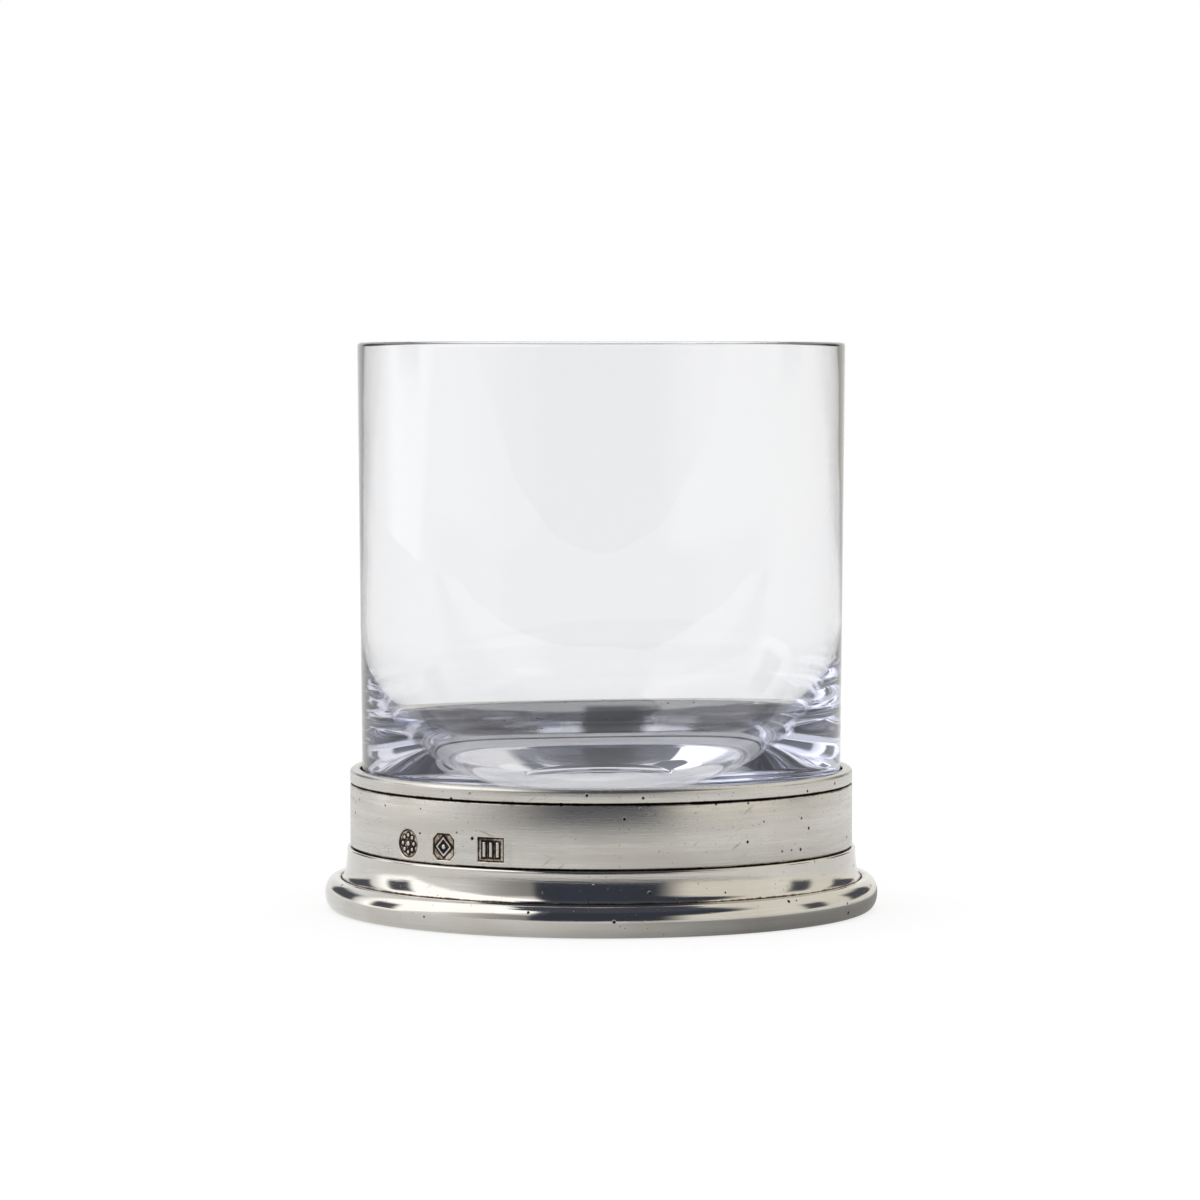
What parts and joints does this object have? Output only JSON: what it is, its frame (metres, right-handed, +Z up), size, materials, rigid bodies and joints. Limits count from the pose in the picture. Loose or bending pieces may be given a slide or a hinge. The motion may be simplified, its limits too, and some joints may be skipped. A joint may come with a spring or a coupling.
{
  "type": "rocks glass",
  "caption": "Short clear glass tumbler with a thick rounded base, bonded into a pewter collar with a rounded lip and a turned foot of cove and bead.",
  "frame": {"origin": "centre of the ring on the table that the foot stands on", "axes": "+Z up along the glass axis towards the rim; the part is round, so +X and +Y are free"},
  "size_m": [0.0886, 0.0886, 0.0906],
  "materials": {
    "clear_glass": "fire polished",
    "satin_pewter": "satin pewter, lightly brushed round the axis",
    "turned_pewter": "pewter as turned, fine rings",
    "pale_bond": "cured pale silicone adhesive"
  },
  "bodies": {
    "root": {"glass_tumbler": "clear_glass", "collar_band": "satin_pewter", "foot_ring": "satin_pewter", "seat_ring": "turned_pewter", "bond_ring": "pale_bond"}
  },
  "joints": []
}
